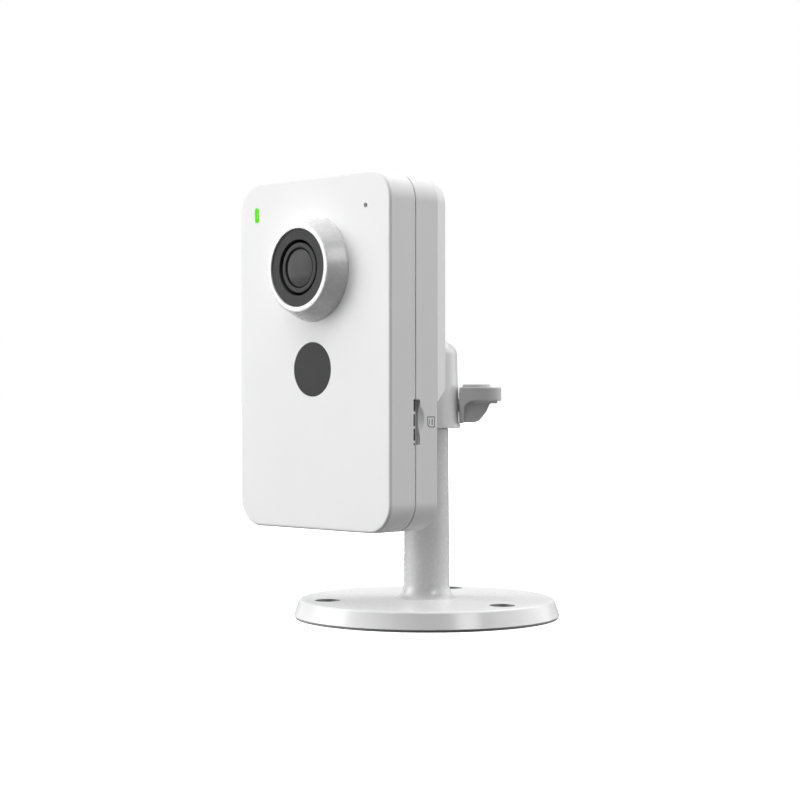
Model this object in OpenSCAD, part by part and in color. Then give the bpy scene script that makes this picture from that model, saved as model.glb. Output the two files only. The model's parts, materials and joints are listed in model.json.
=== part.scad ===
// Indoor cube camera on a round pole stand, in millimetres.
// The origin is the centre of the stand's underside. +Z is up and the lens faces -Y.

/* [Camera head] */
// Width of the head
head_w = 64; // [62:1:70]
// Height of the head
head_h = 101.8; // [100:0.1:106]
// Height of the head's underside above the table
head_bottom = 28.9; // [28:0.1:30]
// Radius of the head's four corners, seen from the front
corner_r = 8.5; // [8:0.5:10]
// Thickness of the housing walls
wall = 2; // [1.8:0.1:2.2]
// Y of the front face
front_y = -47.2; // [-48:0.1:-47]
// Y of the seam between the front and rear housings
seam_y = -37.25; // [-37.6:0.05:-37.1]
// Width of the shadow gap along the seam
seam_gap = 0.4; // [0.2:0.1:0.6]
// Y of the flat lower back
lower_back_y = -28.3; // [-28.6:0.1:-28]
// Y of the raised upper back
upper_back_y = -23; // [-23.4:0.1:-22.8]
// How far the raised back tapers in on each side
back_taper = 2; // [1:0.5:3]

/* [Lens] */
// Height of the lens axis above the table
lens_z = 104.1; // [103:0.1:105]
// Radius of the bezel cone where it meets the front face
bezel_base_r = 15.3; // [15:0.1:16]
// Radius of the bezel's front rim
bezel_rim_r = 12.8; // [12.6:0.1:13]
// Height of the bezel above the front face
bezel_h = 6; // [5:0.5:7]
// Radius of the lens barrel's head
barrel_head_r = 7.25; // [7:0.05:7.5]
// Radius of the barrel's thread
barrel_thread_r = 6; // [5.8:0.1:6]
// Radius of the front glass
glass_r = 5.4; // [5.2:0.1:5.6]

/* [Front details] */
// Radius of the infrared window
window_r = 7.8; // [7:0.1:8]
// Height of the infrared window's centre
window_z = 75.06; // [74:0.1:76]
// Distance of the status light from the middle
status_x = -24.4; // [-25:0.1:-24]
// Height of the status light
status_z = 121; // [120.5:0.1:121.2]
// Distance of the microphone hole from the middle
mic_x = 22.1; // [21:0.1:23]
// Height of the microphone hole
mic_z = 120.8; // [120:0.1:121]

/* [Stand] */
// Radius of the base at its foot
base_r = 40.55; // [40:0.1:42]
// Radius of the circle that the three screw holes lie on
base_hole_circle_r = 31; // [30:0.5:32]
// Radius of the three screw holes
base_hole_r = 2.1; // [2:0.1:2.4]
// Radius of the pole near its foot
pole_foot_r = 7; // [6.8:0.1:7.2]
// Radius of the pole at its shoulder
pole_top_r = 6.65; // [6.5:0.05:6.8]
// Height of the pole's shoulder, which carries the collar
shoulder_z = 57.6; // [57.4:0.1:57.8]
// Radius of the spigot that the collar turns on
spigot_r = 5.6; // [5.4:0.1:5.8]
// Radial clearance of the turning fits
running_gap = 0.05; // [0.03:0.01:0.08]

/* [Tilt hinge and clamp] */
// Y of the tilt axis
hinge_y = -16.4; // [-16.6:0.1:-16.2]
// Height of the tilt axis
hinge_z = 76; // [75.5:0.1:76.5]
// Radius of the hinge bolt
hinge_bolt_r = 2; // [1.8:0.1:2]
// Direction of the clamp lever, turned from +X toward +Y
lever_turn = 45; // [30:5:60]
// Height of the clamp screw
lever_z = 64.6; // [64.4:0.1:64.8]

/* [Hidden] */
$fn = 64;
small_fn = 24;
hair = 0.01;

head_mid = head_bottom + head_h / 2;
head_top = head_bottom + head_h;
front_depth = seam_y - seam_gap / 2 - front_y;
rear_rim_y = seam_y + seam_gap / 2;
rear_depth = lower_back_y - rear_rim_y;
back_rise = upper_back_y - lower_back_y;
front_fillet = 0.8;
rear_fillet = 0.6;
front_inner_y = front_y + wall;
lower_inner_y = lower_back_y - wall;
upper_inner_y = upper_back_y - wall;

// The raised back's lower end slopes from step_low at the lower back to step_high at its face
step_low = 65.8;
step_high = 69.5;

// Tongue of the rear housing that locates the front housing
lip_inset = 1.1;
lip_h = 1.4;
lip_gap = 0.1;

// Posts and pilot holes for the screws
front_post_r = 3;
rear_post_r = 3.4;
board_post_r = 2;
board_hole_r = 1.1;
housing_pilot_r = 1.15;
bracket_pilot_r = 1.05;

// Play between a fixed piece and its opening
fit_gap = 0.1;

// Openings in the front face
mic_hole_r = 0.72;
light_w = 1.8;
light_h = 4.5;

// Lens stack, in Y
bezel_front_y = front_y - bezel_h;
bezel_inner_r = 11.24;
bezel_spigot_r = 12.4;
bezel_back_y = -43.2;
trim_front_y = bezel_front_y + 0.45;
trim_inner_r = 8;
barrel_front_y = bezel_front_y + 0.85;
barrel_neck_y = -45.6;
barrel_back_y = -37.1;
retainer_r = 5.85;
holder_front_y = -44;
holder_shoulder_y = -38.2;
sensor_board_front_y = -33;
sensor_board_back_y = -31.8;
inner_lens_r = 4.55;
middle_lens_y = -44.4;
rear_lens_y = -39;
sensor_front_y = -34;
slider_cavity_y = [-36.8, -35];
slider_y = [-36.5, -35.3];
slider_x = [-4.3, 11.1];
filter_pitch = 6.8;
filter_size = [5.96, 6.76];
filter_y = [-36.2, -35.6];

// Boards, in Y
main_board_y = [-37, -35.4];
main_board_z = [41, 84];
front_board_y = [-41.6, -40.6];
front_board_z = [64, 123.5];
front_led_y = -42.4;
ir_led_y = -42.3;

// Parts on the main board: places as [x, z] and front faces in Y
processor_at = [0, 55];
processor_front_y = -38.4;
thermal_pad_front_y = -39;
heat_spreader_front_y = -40.4;

// Screws through the housings, as [x, z]
lower_screws = [[-26, 35.6], [26, 35.6]];
upper_screws = [[-14, 124.4], [14, 124.4]];
screw_shaft_r = 1.2;
screw_head_r = 2.3;
main_board_low_screws = [[-24, 45], [24, 45]];
main_board_high_screws = [[-24, 80.6], [24, 80.6]];
sensor_screws = [[-15, lens_z], [15, lens_z]];
front_board_screws_at = [[-25, 68], [25, 68], [-25, 104], [25, 104]];
board_screw_r = 0.98;

// Card slot in the side, beside the seam: the notches in the front housing's rim, low to high
card_slot_z = [53.6, 66.45];
card_notches = [[53.6, 54.2], [54.85, 58.25], [58.9, 62.35], [63.05, 66.45]];
card_notch_y = -38.07;
scoop_z = 60.6;

// Places on the lower back, as [x, z]
inlet_at = [14, 36.4];
reset_at = [16, 58];
speaker_at = [-12, 47];
inlet_size = [9.4, 8.6];
reset_r = 2;

// Tilt hinge, across X
ear_inner_x = 4.2;
ear_outer_x = 7.2;
ear_r = 4.4;
tongue_half_w = 3.6;
bracket_y = upper_back_y + 2;
bracket_screws_at = [[-8, 73.4], [8, 73.4], [-8, 88.6], [8, 88.6]];

// Collar
collar_bottom_z = shoulder_z + 0.1;
collar_foot_r = 10.3;
collar_mid = [9.5, 72];
collar_neck = [9.3, 78];
dome_z = 80;
dome_h = 5.2;
spigot_top_z = 79;
// Flat seat on the collar behind the lever's flange, as a distance from the pole's axis
lever_seat_u = 9.7;
flange_r = 5.5;
insert_r = 3;
insert_u = [5.8, 8.6];
clamp_screw_r = 1.95;
screw_u = [6.7, 14.3];
// Base and foot of the pole
base_pad_h = 0.6;
base_top_z = 6;
stub_z = 3.2;
stub_r = 4.95;
pole_screw_r = 1.98;
base_skirt = 3.2;
base_hub_r = 10;
base_boss_r = 6;
weight_gap = 0.4;
// Groove round the spigot for the brake pad
groove_r = 5.2;
groove_half_h = 2.1;

// ---------- helpers ----------

// Local +Z points out of the front of the camera, local +Y points up
module facing_front(x, y, z) {
    translate([x, y, z]) rotate([90, 0, 0]) children();
}

// Round bar along Y from y0 to y1, with y0 nearer the front
module bar_y(x, z, r, y0, y1, fn = $fn) {
    facing_front(x, y1, z) cylinder(r = r, h = y1 - y0, $fn = fn);
}

// Box from its low corner to its high corner
module box(low, high) {
    translate(low) cube(high - low);
}

// Board or chip parallel to the front: centre [x, z], size [w, h], from y0 to y1
module slab(at, size, y0, y1) {
    box([at[0] - size[0] / 2, y0, at[1] - size[1] / 2],
        [at[0] + size[0] / 2, y1, at[1] + size[1] / 2]);
}

// Block with four round corners. The child is its edge section: X runs outward from a
// corner's centre and Y runs up the block's depth.
module rounded_block(w, h, r, depth) {
    for (sx = [-1, 1], sy = [-1, 1])
        translate([sx * (w / 2 - r), sy * (h / 2 - r), 0])
            rotate_extrude() children();
    for (turn = [0, 180])
        rotate([0, 0, turn]) translate([w / 2 - r, 0, 0])
            rotate([90, 0, 0]) linear_extrude(h - 2 * r, center = true) children();
    for (turn = [90, 270])
        rotate([0, 0, turn]) translate([h / 2 - r, 0, 0])
            rotate([90, 0, 0]) linear_extrude(w - 2 * r, center = true) children();
    translate([r - w / 2, r - h / 2, 0]) cube([w - 2 * r, h - 2 * r, depth]);
}

// Edge section with a fillet at its outer end
module filleted_section(reach, depth, fillet) {
    square([reach - fillet, depth]);
    square([reach, depth - fillet]);
    translate([reach - fillet, depth - fillet]) circle(r = fillet);
}

// Hollow of the housings from y0 to y1, inset from the outer walls
module head_hollow(inset, y0, y1) {
    facing_front(0, y1, head_mid)
        rounded_block(head_w - 2 * inset, head_h - 2 * inset, corner_r - inset, y1 - y0)
            square([corner_r - inset, y1 - y0]);
}

// Rounded bar outline for the status light
module light_outline(w, h) {
    square([w, h - w], center = true);
    for (s = [-1, 1]) translate([0, s * (h - w) / 2]) circle(d = w, $fn = small_fn);
}

// Post with a screw hole along Y
module post(at, r, y0, y1) {
    bar_y(at[0], at[1], r, y0, y1, small_fn);
}

// Pan-head screw along Y with its head at y_head, reaching forward to y_tip
module pan_screw(at, shaft_r, head_r, head_h, y_head, y_tip) {
    bar_y(at[0], at[1], shaft_r, y_tip, y_head - head_h + hair, small_fn);
    difference() {
        bar_y(at[0], at[1], head_r, y_head - head_h, y_head, small_fn);
        cross_recess(at, head_r * 0.62, y_head);
    }
}

// Cross recess in a screw head that faces +Y
module cross_recess(at, reach, y_face) {
    for (turn = [0, 90])
        translate([at[0], y_face, at[1]]) rotate([0, turn, 0])
            cube([2 * reach, 1, reach * 0.5], center = true);
}

// Ring about Z from a section of corner points [r, z]
module turned(points) {
    rotate_extrude() polygon(points);
}

// Ring about the lens axis from a section of corner points [r, y]
module turned_lens(points) {
    facing_front(0, 0, lens_z) rotate_extrude() polygon([for (p = points) [p[0], -p[1]]]);
}

// ---------- camera head: housings ----------

module front_outer() {
    facing_front(0, seam_y - seam_gap / 2, head_mid)
        rounded_block(head_w, head_h, corner_r, front_depth)
            filleted_section(corner_r, front_depth, front_fillet);
}

module front_housing() {
    color("white") difference() {
        union() {
            difference() {
                front_outer();
                head_hollow(wall, front_inner_y, seam_y + 1);
                head_hollow(lip_inset - lip_gap, rear_rim_y - lip_h - lip_gap - seam_gap, seam_y + 1);
            }
            for (p = concat(lower_screws, upper_screws))
                post(p, front_post_r, front_inner_y - hair, rear_rim_y - lip_h);
            for (p = front_board_screws_at)
                post(p, board_post_r, front_inner_y - hair, front_board_y[0]);
        }
        bar_y(0, lens_z, bezel_spigot_r + fit_gap, front_y - 1, front_inner_y + 1);
        bar_y(0, window_z, window_r + fit_gap, front_y - 1, front_inner_y + 1);
        bar_y(mic_x, mic_z, mic_hole_r, front_y - 1, front_inner_y + 1, small_fn);
        facing_front(status_x, front_inner_y + 1, status_z)
            linear_extrude(wall + 2) light_outline(light_w + fit_gap, light_h + fit_gap);
        for (p = concat(lower_screws, upper_screws))
            bar_y(p[0], p[1], housing_pilot_r, front_inner_y + 0.6, seam_y + 1, small_fn);
        for (p = front_board_screws_at)
            bar_y(p[0], p[1], board_screw_r + 0.02, front_inner_y + 0.4, seam_y, small_fn);
        card_rim_notches();
    }
}

// Three long notches and one short one in the rim, through the side wall
module card_rim_notches() {
    for (n = card_notches)
        box([head_w / 2 - wall - 1, card_notch_y, n[0]], [head_w / 2 + 1, seam_y + 1, n[1]]);
}

// Black liner behind the card slot, with a tongue in each notch of the rim
module card_slot_liner() {
    play = 0.04;
    back_x = head_w / 2 - wall;
    wall_x = head_w / 2 - lip_inset + lip_gap - play;
    face_x = head_w / 2 - 0.3;
    color("black") {
        box([back_x, card_notch_y - 0.6, card_slot_z[0] - 0.7],
            [wall_x, seam_y, card_slot_z[1] + 0.7]);
        for (n = card_notches)
            box([wall_x - hair, card_notch_y + play, n[0] + play], [face_x, seam_y, n[1] - play]);
    }
}

// The raised back, tapering on both sides and at the top, cut to a slope at its lower end
module raised_back() {
    tall = 2 * (head_top - step_low);
    slope = atan2(step_high - step_low, back_rise);
    difference() {
        facing_front(0, upper_back_y, head_top - tall / 2) mirror([0, 0, 1])
            translate([0, 0, -back_rise])
                rounded_block(head_w, tall, corner_r, back_rise)
                    polygon([[0, 0], [corner_r, 0], [corner_r - back_taper, back_rise],
                             [0, back_rise]]);
        translate([0, lower_back_y, step_low]) rotate([slope, 0, 0])
            box([-head_w, -head_h, -3 * head_h], [head_w, head_h, 0]);
    }
}

module rear_outer() {
    facing_front(0, lower_back_y, head_mid) translate([0, 0, rear_depth]) mirror([0, 0, 1])
        rounded_block(head_w, head_h, corner_r, rear_depth)
            filleted_section(corner_r, rear_depth, rear_fillet);
    // Full-depth edge under the raised back, so that its sides carry on without a groove
    intersection() {
        facing_front(0, lower_back_y, head_mid)
            rounded_block(head_w, head_h, corner_r, rear_depth) square([corner_r, rear_depth]);
        box([-head_w, -head_h, step_low], [head_w, head_h, 2 * head_h]);
    }
    raised_back();
}

// The room inside the raised back
module upper_hollow() {
    inner_top = head_top - wall - back_taper;
    inner_low = step_high + wall;
    facing_front(0, upper_inner_y, (inner_top + inner_low) / 2)
        rounded_block(head_w - 2 * (wall + back_taper), inner_top - inner_low, corner_r - wall,
                      back_rise + 1)
            square([corner_r - wall, back_rise + 1]);
}

module rear_lip() {
    slot_depth = 6;
    difference() {
        head_hollow(lip_inset, rear_rim_y - lip_h, rear_rim_y + 1);
        head_hollow(wall, rear_rim_y - lip_h - 1, rear_rim_y + 2);
        // The card slot passes through the lip
        box([head_w / 2 - slot_depth, seam_y - 4, card_slot_z[0] - 1],
            [head_w, seam_y + 0.1, card_slot_z[1] + 1]);
    }
}

// Grille of round holes over the speaker
module grille_holes() {
    pitch = 2.6;
    rings = 2;
    hole_r = 0.6;
    for (row = [-rings : rings], col = [-rings : rings])
        if (abs(row + col) <= rings)
            bar_y(speaker_at[0] + pitch * (col + row / 2), speaker_at[1] + pitch * row * sqrt(3) / 2,
                  hole_r, lower_inner_y - 1, lower_back_y + 1, small_fn);
}

// Shallow recess behind the card slot with a D-shaped finger scoop
module card_recess() {
    depth = 1.4;
    reach = 9;
    recess_back_y = -35.6;
    box([head_w / 2 - depth, rear_rim_y - 1, card_slot_z[0]],
        [head_w / 2 + 1, recess_back_y, card_slot_z[1]]);
    intersection() {
        translate([head_w / 2 - depth, recess_back_y - 2.7, scoop_z]) rotate([0, 90, 0])
            cylinder(d = reach, h = depth + 1);
        box([0, recess_back_y - 0.2, 0], [head_w, lower_back_y, head_top]);
    }
}

module rear_housing() {
    color("white") difference() {
        union() {
            difference() {
                rear_outer();
                head_hollow(wall, rear_rim_y - 1, lower_inner_y);
                upper_hollow();
                card_recess();
            }
            rear_lip();
            for (p = lower_screws)
                post(p, rear_post_r, rear_rim_y - lip_h + lip_gap, lower_inner_y + hair);
            for (p = upper_screws)
                post(p, rear_post_r, rear_rim_y - lip_h + lip_gap, upper_inner_y + hair);
            for (p = main_board_low_screws)
                post(p, board_post_r, main_board_y[1], lower_inner_y + hair);
            for (p = main_board_high_screws)
                post(p, board_post_r, main_board_y[1], upper_inner_y + hair);
            for (p = sensor_screws)
                post(p, board_post_r, sensor_board_back_y, upper_inner_y + hair);
        }
        for (p = lower_screws) {
            bar_y(p[0], p[1], screw_shaft_r + 0.15, rear_rim_y - 5, lower_back_y + 1, small_fn);
            bar_y(p[0], p[1], screw_head_r + 0.3, lower_back_y - 2.2, lower_back_y + 1, small_fn);
        }
        for (p = upper_screws) {
            bar_y(p[0], p[1], screw_shaft_r + 0.15, rear_rim_y - 5, upper_back_y + 1, small_fn);
            bar_y(p[0], p[1], screw_head_r + 0.3, upper_back_y - 2.2, upper_back_y + 1, small_fn);
        }
        for (p = concat(main_board_low_screws, main_board_high_screws, sensor_screws))
            bar_y(p[0], p[1], board_screw_r + 0.02, -38, sensor_board_back_y + 2.6, small_fn);
        for (p = bracket_screws_at)
            bar_y(p[0], p[1], bracket_pilot_r, upper_inner_y - 1, upper_back_y + 1, small_fn);
        slab(inlet_at, inlet_size + 2 * [fit_gap, fit_gap], lower_inner_y - 1, lower_back_y + 1);
        bar_y(reset_at[0], reset_at[1], reset_r + 0.2, lower_inner_y - 1, lower_back_y + 1, small_fn);
        grille_holes();
    }
}

// ---------- camera head: lens ----------

module lens_bezel() {
    rim_round = 0.8;
    color("white") facing_front(0, 0, lens_z) rotate_extrude() {
        polygon([[bezel_inner_r, -bezel_back_y], [bezel_spigot_r, -bezel_back_y],
                 [bezel_spigot_r, -front_y], [bezel_base_r, -front_y],
                 [bezel_base_r, -front_y + 0.4], [bezel_rim_r, -bezel_front_y - rim_round],
                 [bezel_rim_r, -bezel_front_y - rim_round / 2],
                 [bezel_rim_r - rim_round / 2, -bezel_front_y],
                 [bezel_inner_r, -bezel_front_y]]);
    }
}

module lens_trim_ring() {
    tube_wall = 0.8;
    tube_back_y = -46.4;
    outer_r = bezel_inner_r - 0.04;
    color("dimgray") turned_lens([[trim_inner_r, tube_back_y], [trim_inner_r + tube_wall, tube_back_y],
        [trim_inner_r + tube_wall, trim_front_y + 1.2], [outer_r, trim_front_y + 1.2],
        [outer_r, trim_front_y], [trim_inner_r, trim_front_y]]);
}

module lens_barrel() {
    seat_y = barrel_front_y + 1.6;
    inner_r = 4.6;
    color("dimgray") turned_lens([[inner_r, barrel_back_y], [barrel_thread_r, barrel_back_y],
        [barrel_thread_r, barrel_neck_y], [barrel_head_r, barrel_neck_y],
        [barrel_head_r, barrel_front_y + 0.3], [barrel_head_r - 0.3, barrel_front_y],
        [retainer_r, barrel_front_y], [retainer_r, seat_y], [inner_r, seat_y + 1.2]]);
}

module lens_retainer() {
    ring_y = [barrel_front_y + 0.5, barrel_front_y + 0.9];
    outer_r = retainer_r - 0.02;
    color("black") turned_lens([[glass_r, ring_y[1]], [outer_r, ring_y[1]],
                                [outer_r, ring_y[0]], [glass_r, ring_y[0]]]);
}

// Round glass with one bulging face: the sphere's cap stands cap_h out of a disc
module glass(r, disc_h, cap_h) {
    sphere_r = (r * r + cap_h * cap_h) / (2 * cap_h);
    cylinder(r = r, h = disc_h);
    intersection() {
        translate([0, 0, disc_h + cap_h - sphere_r]) sphere(r = sphere_r, $fn = 96);
        translate([0, 0, disc_h - hair]) cylinder(r = r, h = cap_h + 1);
    }
}

module front_lens() {
    color("slategray") facing_front(0, barrel_front_y + 1.55, lens_z) glass(glass_r - 0.02, 0.5, 1);
}

module middle_lens() {
    color("lightsteelblue") facing_front(0, middle_lens_y, lens_z) glass(inner_lens_r, 1.2, 0.9);
}

module rear_lens() {
    color("lightsteelblue") facing_front(0, rear_lens_y, lens_z) glass(inner_lens_r, 1, 0.8);
}

module lens_holder() {
    half_w = 12.2;
    half_h = 9;
    half_slide = 4.7;
    color("black") difference() {
        union() {
            box([-half_w, holder_shoulder_y, lens_z - half_h], [half_w, sensor_board_front_y, lens_z + half_h]);
            bar_y(0, lens_z, 7.9, holder_front_y, holder_shoulder_y + hair);
        }
        bar_y(0, lens_z, barrel_thread_r + 0.02, holder_front_y - 1, slider_cavity_y[0] + hair);
        box([-11.4, slider_cavity_y[0], lens_z - half_slide], [11.4, slider_cavity_y[1], lens_z + half_slide]);
        slab([0, lens_z], [12, 11], slider_cavity_y[1] - hair, sensor_board_front_y + 1);
    }
}

module filter_slider() {
    half_h = 4.4;
    color("silver") difference() {
        box([slider_x[0], slider_y[0], lens_z - half_h], [slider_x[1], slider_y[1], lens_z + half_h]);
        for (x = [0, filter_pitch])
            slab([x, lens_z], filter_size + [0.04, 0.04], slider_y[0] - 1, slider_y[1] + 1);
    }
}

module day_filter() {
    color("crimson") slab([0, lens_z], filter_size, filter_y[0], filter_y[1]);
}

module night_glass() {
    color("lightcyan") slab([filter_pitch, lens_z], filter_size, filter_y[0], filter_y[1]);
}

module filter_coil() {
    color("chocolate") slab([0, lens_z - 11.8], [12, 5.6], -37.6, sensor_board_front_y);
}

module image_sensor() {
    color("darkslategray") {
        slab([0, lens_z], [9.6, 8.4], sensor_front_y, sensor_board_front_y);
        slab([0, lens_z], [7.2, 5.6], sensor_front_y - 0.4, sensor_front_y + hair);
    }
}

module sensor_board() {
    color("darkgreen") difference() {
        slab([0, lens_z], [36, 32], sensor_board_front_y, sensor_board_back_y);
        for (p = sensor_screws)
            bar_y(p[0], p[1], board_hole_r, sensor_board_front_y - 1, sensor_board_back_y + 1, small_fn);
    }
}

// ---------- camera head: boards and parts on them ----------

module front_board() {
    half_w = 28;
    color("darkgreen") difference() {
        box([-half_w, front_board_y[0], front_board_z[0]], [half_w, front_board_y[1], front_board_z[1]]);
        bar_y(0, lens_z, 13, front_board_y[0] - 1, front_board_y[1] + 1);
        for (p = upper_screws)
            bar_y(p[0], p[1], front_post_r + 0.8, front_board_y[0] - 1, front_board_y[1] + 1);
        for (p = front_board_screws_at)
            bar_y(p[0], p[1], board_hole_r, front_board_y[0] - 1, front_board_y[1] + 1, small_fn);
    }
}

module main_board() {
    half_w = 27;
    color("darkgreen") difference() {
        box([-half_w, main_board_y[0], main_board_z[0]], [half_w, main_board_y[1], main_board_z[1]]);
        for (p = concat(main_board_low_screws, main_board_high_screws))
            bar_y(p[0], p[1], board_hole_r, main_board_y[0] - 1, main_board_y[1] + 1, small_fn);
    }
}

module processor() {
    color("black") slab(processor_at, [14, 14], processor_front_y, main_board_y[0]);
}

module memory_chips() {
    color("black") for (z = [49.5, 60.5]) slab([-15, z], [9, 8], -38.1, main_board_y[0]);
}

module thermal_pad() {
    color("lightblue") slab(processor_at, [13, 13], thermal_pad_front_y, processor_front_y);
}

module heat_spreader() {
    color("silver") difference() {
        slab(processor_at - [0, 2], [40, 19], heat_spreader_front_y, thermal_pad_front_y);
        for (p = main_board_low_screws)
            bar_y(p[0], p[1], 3, heat_spreader_front_y - 1, thermal_pad_front_y + 1, small_fn);
    }
}

module wifi_module() {
    color("silver") slab([-15, 74], [14, 12], -39.4, main_board_y[0]);
}

module antenna() {
    inner_x = wall - head_w / 2;
    color("goldenrod") box([inner_x, -36.6, 86], [inner_x + 0.6, -31, 118]);
}

module ribbon_cable() {
    half_w = 7;
    color("orange") translate([-half_w, 0, 0]) rotate([90, 0, 90]) linear_extrude(2 * half_w)
        polygon([[-31.8, 91], [-31.5, 91], [-31.5, 86.2], [-34.1, 82.2], [-34.1, 78], [-34.4, 78],
                 [-34.4, 82.3], [-31.8, 86.4]]);
}

module board_connectors() {
    color("ivory") {
        slab([0, 90], [17, 2.6], -31.5, -30.2);
        slab([0, 79.4], [17, 2.8], main_board_y[1], -34.4);
    }
}

module card_socket() {
    mouth_x = 29.4;
    back_x = 14.6;
    color("silver") difference() {
        box([back_x, -38.9, scoop_z - 7], [mouth_x, main_board_y[0], scoop_z + 7]);
        box([back_x + 1, -38.5, scoop_z - 5.6], [mouth_x + 1, -37.5, scoop_z + 5.6]);
    }
}

module power_inlet() {
    color("dimgray") {
        difference() {
            slab(inlet_at, inlet_size, -40, lower_back_y - 0.3);
            bar_y(inlet_at[0], inlet_at[1], 2.85, lower_back_y - 9.5, lower_back_y + 1);
        }
        bar_y(inlet_at[0], inlet_at[1], 0.8, lower_back_y - 9.6, lower_back_y - 1.5, small_fn);
    }
}

module reset_button() {
    color("gray") {
        bar_y(reset_at[0], reset_at[1], reset_r, -33.2, lower_back_y + 0.3);
        bar_y(reset_at[0], reset_at[1], 2.9, lower_inner_y - 1.1, lower_inner_y - 0.3);
    }
}

module reset_switch() {
    color("silver") {
        slab(reset_at, [4.4, 4.4], main_board_y[1], -34.2);
        bar_y(reset_at[0], reset_at[1], 0.9, -34.3, -33.7, small_fn);
    }
}

module speaker() {
    color("dimgray") {
        difference() {
            bar_y(speaker_at[0], speaker_at[1], 10, -34.4, lower_inner_y);
            bar_y(speaker_at[0], speaker_at[1], 8.4, lower_inner_y - 1.2, lower_inner_y + 1);
        }
        bar_y(speaker_at[0], speaker_at[1], 4, lower_inner_y - 1.3, lower_inner_y - 0.6);
    }
}

module microphone() {
    color("silver") difference() {
        bar_y(mic_x, mic_z, 2, -43.4, front_board_y[0], small_fn);
        bar_y(mic_x, mic_z, 0.5, -44, -43, small_fn);
    }
}

module mic_boot() {
    color("black") difference() {
        bar_y(mic_x, mic_z, 2.7, front_inner_y, front_board_y[0]);
        bar_y(mic_x, mic_z, mic_hole_r, front_inner_y - 1, -43, small_fn);
        bar_y(mic_x, mic_z, 2.02, -43.5, -41, small_fn);
    }
}

module status_led() {
    color("lime") slab([status_x, status_z], [1.6, 3.2], front_led_y, front_board_y[0]);
}

module light_pipe() {
    color("lime") {
        facing_front(status_x, front_inner_y + 0.1, status_z)
            linear_extrude(wall + 0.1) light_outline(light_w, light_h);
        slab([status_x, status_z], [3.2, 4.6], front_inner_y, front_led_y - 0.2);
    }
}

module ir_window() {
    flange_r = window_r + 1.4;
    color("dimgray") facing_front(0, 0, window_z) rotate_extrude()
        polygon([[0, -front_y], [window_r, -front_y], [window_r, -front_inner_y],
                 [flange_r, -front_inner_y], [flange_r, -front_inner_y - 0.9],
                 [0, -front_inner_y - 0.9]]);
}

module ir_leds() {
    color("ivory") for (x = [-3.2, 3.2]) {
        slab([x, window_z + 1.6], [3.4, 3.4], ir_led_y, front_board_y[0]);
        facing_front(x, ir_led_y, window_z + 1.6) glass(1.4, 0.2, 0.9);
    }
}

module light_sensor() {
    color("khaki") slab([0, window_z - 4], [2.4, 2], front_led_y, front_board_y[0]);
}

// Screws whose heads face the front and whose tips point to the back
module front_facing_screws(places, head_y, tip_y) {
    head_h = 1.2;
    for (p = places) {
        bar_y(p[0], p[1], board_screw_r, head_y - hair, tip_y, small_fn);
        difference() {
            bar_y(p[0], p[1], 1.9, head_y - head_h, head_y, small_fn);
            cross_recess(p, 1.2, head_y - head_h);
        }
    }
}

module board_screws() {
    color("silver") {
        front_facing_screws(concat(main_board_low_screws, main_board_high_screws),
                            main_board_y[0], -30.6);
        front_facing_screws(sensor_screws, sensor_board_front_y, -30);
    }
}

module front_board_screws() {
    color("silver") for (p = front_board_screws_at)
        pan_screw(p, board_screw_r, 1.9, 1.2, front_board_y[1] + 1.2, -44.4);
}

module housing_screws() {
    color("silver") {
        for (p = lower_screws)
            pan_screw(p, screw_shaft_r - 0.1, screw_head_r, 1.6, lower_back_y - 0.6, -43.8);
        for (p = upper_screws)
            pan_screw(p, screw_shaft_r - 0.1, screw_head_r, 1.6, upper_back_y - 0.6, -43.8);
    }
}

// ---------- tilt hinge ----------

// Round bar along X, centred on the tilt axis
module hinge_bar(r, x0, x1, fn = $fn) {
    translate([x0, hinge_y, hinge_z]) rotate([0, 90, 0]) cylinder(r = r, h = x1 - x0, $fn = fn);
}

module tilt_bracket() {
    plate_half_w = 11;
    plate_z = [70.4, 91.6];
    color("white") difference() {
        union() {
            box([-plate_half_w, upper_back_y, plate_z[0]], [plate_half_w, bracket_y, plate_z[1]]);
            box([-tongue_half_w, bracket_y - hair, hinge_z - ear_r],
                [tongue_half_w, hinge_y, hinge_z + ear_r]);
            hinge_bar(ear_r, -tongue_half_w, tongue_half_w);
        }
        hinge_bar(hinge_bolt_r + running_gap, -tongue_half_w - 1, tongue_half_w + 1);
        for (p = bracket_screws_at) {
            bar_y(p[0], p[1], 1.15, upper_back_y - 1, bracket_y + 1, small_fn);
            translate([p[0], bracket_y - 1.1, p[1]]) rotate([-90, 0, 0])
                cylinder(r1 = 1.15, r2 = 2.25, h = 1.11, $fn = small_fn);
        }
    }
}

module bracket_screws() {
    color("silver") for (p = bracket_screws_at) difference() {
        union() {
            bar_y(p[0], p[1], 1, upper_inner_y - 2, bracket_y - 1, small_fn);
            translate([p[0], bracket_y - 1.1, p[1]]) rotate([-90, 0, 0])
                cylinder(r1 = 1, r2 = 2.1, h = 1.1, $fn = small_fn);
        }
        cross_recess(p, 1.2, bracket_y);
    }
}

module hinge_bolt() {
    color("silver") difference() {
        union() {
            hinge_bar(hinge_bolt_r, -9.8, ear_outer_x + hair);
            hinge_bar(3.5, ear_outer_x, ear_outer_x + 2);
        }
        hinge_bar(1.3, ear_outer_x + 0.8, ear_outer_x + 3, 6);
    }
}

module hinge_nut() {
    color("silver") difference() {
        hinge_bar(4.04, -9.4, -ear_outer_x, 6);
        hinge_bar(hinge_bolt_r + 0.02, -10, 0);
    }
}

module friction_washers() {
    color("dimgray") for (s = [-1, 1]) difference() {
        hinge_bar(4.2, min(s * ear_inner_x, s * (ear_inner_x - 0.5)),
                  max(s * ear_inner_x, s * (ear_inner_x - 0.5)));
        hinge_bar(hinge_bolt_r + 0.02, -10, 10);
    }
}

// ---------- collar and clamp ----------

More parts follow.
